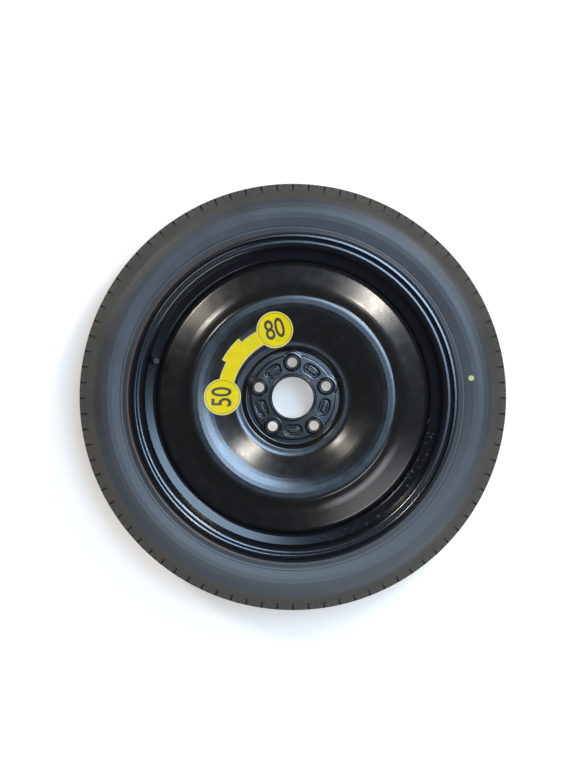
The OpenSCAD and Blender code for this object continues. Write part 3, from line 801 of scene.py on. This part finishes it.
valve_rubber = plain_finish("valve_rubber", (0.016, 0.016, 0.017), 0.5, 2500, 0.05 * mm)
brass = plain_finish("brass", (0.62, 0.42, 0.17), 0.28, 1800, 0.02 * mm, Metallic=1.0)
bright_brass = plain_finish("core_brass", (0.7, 0.52, 0.26), 0.2, 1800, 0.01 * mm, Metallic=1.0)
spring_steel = plain_finish("spring_steel", (0.55, 0.55, 0.56), 0.25, 1800, 0.01 * mm, Metallic=1.0)
seal_rubber = plain_finish("seal_rubber", (0.02, 0.02, 0.02), 0.6, 2500, 0.03 * mm)
red_seal = plain_finish("core_washer_plastic", (0.5, 0.05, 0.03), 0.45, 2500, 0.02 * mm)
cap_plastic = plain_finish("cap_plastic", (0.01, 0.01, 0.011), 0.5, 1500, 0.03 * mm,
                           Specular_IOR_Level=0.3)
dress("valve_body", valve_rubber)
dress("valve_stem", brass)
dress("core_barrel", bright_brass)
dress("core_pin", bright_brass)
dress("core_spring", spring_steel)
dress("core_seal", seal_rubber)
dress("cap_washer", seal_rubber)
dress("core_washer", red_seal)
dress("valve_cap", cap_plastic)

# The speed label: a strip of yellow plastic film with a white edge, stuck on the bowl. Its two
# round ends carry the speed as plain numbers, in kilometres and in miles an hour.
label_r = 107.6 * mm
label_end_r = 28 * mm
label_angle = 142 * deg
label_half_arc = 37.2 * deg
band_r = 104.1 * mm
band_half_w = 11.5 * mm
tab_half_w = 18.2 * mm
tab_out_r = 122.8 * mm


def film(name, low, high, label_prism, material):
    """A skin of film between two heights over the bowl, cut out by a closed prism."""
    bowl = [p for p in rounded(disc_corners()) if hub_wall_r + 7 * mm < p.x < crown_r + 2 * mm]
    tops = [p + normal * high for p, normal in zip(bowl, bowl_normals(bowl))]
    feet = [p + normal * low for p, normal in zip(bowl, bowl_normals(bowl))]
    skin = draw(name, tops + list(reversed(feet)) + [tops[0]])
    bpy.ops.mesh.select_all(action="SELECT")
    bpy.ops.mesh.remove_doubles(threshold=0.001 * mm)
    spin_round(300, merge=0.001 * mm)
    bpy.ops.mesh.normals_make_consistent(inside=False)
    bpy.ops.object.mode_set(mode="OBJECT")
    cut_by(skin, label_prism, "INTERSECT")
    skin.data.materials.clear()
    skin.data.materials.append(material)
    return skin


def bowl_normals(points):
    """The normals of a profile line, on the side that faces up."""
    normals = []
    for i in range(len(points)):
        along = points[min(i + 1, len(points) - 1)] - points[max(i - 1, 0)]
        normals.append(Vector((-along.y, along.x)).normalized())
    return normals


def arc_points(centre_r, centre_angle, radius, start, end, count):
    """Points of an arc round a centre that is given by its radius and angle on the wheel."""
    centre = Vector((centre_r * math.cos(centre_angle), centre_r * math.sin(centre_angle)))
    return [centre + radius * Vector((math.cos(start + (end - start) * i / count),
                                      math.sin(start + (end - start) * i / count)))
            for i in range(count + 1)]


def prism(name, outline):
    """A closed upright prism over an outline in the XY plane, higher than the wheel."""
    bpy.ops.object.select_all(action="DESELECT")
    bpy.ops.mesh.primitive_circle_add(vertices=len(outline), radius=10 * mm, fill_type="NGON")
    piece = bpy.context.object
    piece.name = name
    for v, p in zip(piece.data.vertices, outline):
        v.co = (p.x, p.y, 0)
    bpy.ops.object.mode_set(mode="EDIT")
    bpy.ops.mesh.select_all(action="SELECT")
    bpy.ops.mesh.extrude_region_move(TRANSFORM_OT_translate={"value": (0, 0, 60 * mm)})
    bpy.ops.mesh.select_all(action="SELECT")
    bpy.ops.mesh.normals_make_consistent(inside=False)
    bpy.ops.object.mode_set(mode="OBJECT")
    return piece


def label_outline(inset):
    """The label's outline, drawn in by inset: end, outer edge with its tab, other end, inner edge."""
    end_r = label_end_r - inset
    rings = (band_r - band_half_w + inset, band_r + band_half_w - inset)
    ends, meets = [], []
    for side in (-1, 1):
        middle = label_angle + side * label_half_arc
        centre = Vector((label_r * math.cos(middle), label_r * math.sin(middle)))
        joints = []
        for ring in rings:
            cosine = (label_r ** 2 + ring ** 2 - end_r ** 2) / (2 * label_r * ring)
            a = middle - side * math.acos(cosine)
            joint = ring * Vector((math.cos(a), math.sin(a))) - centre
            joints.append((a, math.atan2(joint.y, joint.x)))
        start, end = [joint[1] for joint in joints[::-side]]
        ends.append(arc_points(label_r, middle, end_r, start, start + (end - start) % (2 * math.pi), 48))
        meets.append([joint[0] for joint in joints])
    inner, outer = rings
    (low_inner, low_outer), (high_inner, high_outer) = meets
    tab_r, tab_half = tab_out_r - inset, (tab_half_w - inset) / label_r
    return (ends[0] + arc_points(0, 0, outer, low_outer, label_angle - tab_half, 12)[1:]
            + arc_points(0, 0, tab_r, label_angle - tab_half, label_angle + tab_half, 12)
            + arc_points(0, 0, outer, label_angle + tab_half, high_outer, 12)[:-1]
            + ends[1] + arc_points(0, 0, inner, high_inner, low_inner, 30)[1:-1])


film_yellow = plain_finish("label_yellow", (0.55, 0.42, 0.002), 0.35, 900, 0.01 * mm,
                           Specular_IOR_Level=0.12)
film_white = plain_finish("label_white", (0.42, 0.42, 0.34), 0.3, 900, 0.01 * mm)
film_black = plain_finish("label_black", (0.03, 0.022, 0.012), 0.4, 900, 0.01 * mm)
layers = [film("speed_film", 0.05 * mm, 0.30 * mm, prism("edge", label_outline(0)), film_white)]
layers.append(film("yellow", 0.2 * mm, 0.32 * mm, prism("ground", label_outline(0.6 * mm)), film_yellow))


def printed(flat, height):
    """Divides a flat print finely and lays it on the bowl, at a height over the paint."""
    bowl = rounded(disc_corners())
    bpy.ops.object.mode_set(mode="EDIT")
    bpy.ops.mesh.select_all(action="SELECT")
    bpy.ops.mesh.quads_convert_to_tris()
    bpy.ops.mesh.subdivide(number_cuts=5)
    bpy.ops.object.mode_set(mode="OBJECT")
    for v in flat.data.vertices:
        r = math.hypot(v.co.x, v.co.y)
        a, b = next((a, b) for a, b in zip(bowl, bowl[1:]) if a.x <= r <= b.x and b.x > hub_wall_r)
        v.co.z = a.y + (b.y - a.y) * (r - a.x) / (b.x - a.x) + height
    flat.data.materials.clear()
    flat.data.materials.append(film_black)
    return flat


def digits(text, side, height):
    """A condensed number, flat, whose top points away from the hub."""
    middle = label_angle + side * label_half_arc
    bpy.ops.object.select_all(action="DESELECT")
    bpy.ops.object.text_add()
    number = bpy.context.object
    number.data.body = text
    number.data.align_x = "CENTER"
    number.data.align_y = "CENTER"
    number.data.offset = 0.5 * mm
    number.data.size = height * 1.38
    number.scale = (0.78, 1.06, 1)
    bpy.ops.object.convert(target="MESH")
    number = bpy.context.object
    bpy.ops.object.transform_apply(location=True, rotation=True, scale=True)
    place = Vector((label_r * math.cos(middle), label_r * math.sin(middle), 0))
    number.data.transform(Matrix.Translation(place) @ Matrix.Rotation(middle - math.pi / 2, 4, "Z"))
    return number


def hoop(side, radius, width):
    """A thin flat ring at one of the label's ends."""
    middle = label_angle + side * label_half_arc
    bpy.ops.object.select_all(action="DESELECT")
    bpy.ops.mesh.primitive_circle_add(vertices=96, radius=radius - width / 2)
    ring = bpy.context.object
    bpy.ops.object.mode_set(mode="EDIT")
    bpy.ops.mesh.select_all(action="SELECT")
    bpy.ops.mesh.extrude_edges_move()
    bpy.ops.transform.resize(value=[(radius + width / 2) / (radius - width / 2)] * 3)
    bpy.ops.object.mode_set(mode="OBJECT")
    ring.data.transform(Matrix.Translation((label_r * math.cos(middle), label_r * math.sin(middle), 0)))
    return ring


for text, side in (("80", -1), ("50", 1)):
    layers.append(printed(digits(text, side, 29 * mm), 0.38 * mm))
    layers.append(printed(hoop(side, 25.3 * mm, 0.6 * mm), 0.38 * mm))
bpy.ops.object.select_all(action="DESELECT")
for layer in layers:
    layer.select_set(True)
bpy.context.view_layer.objects.active = layers[0]
bpy.ops.object.join()
label = layers[0]
smooth(label, 30 * deg)
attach(label, "wheel")
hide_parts("speed_label")
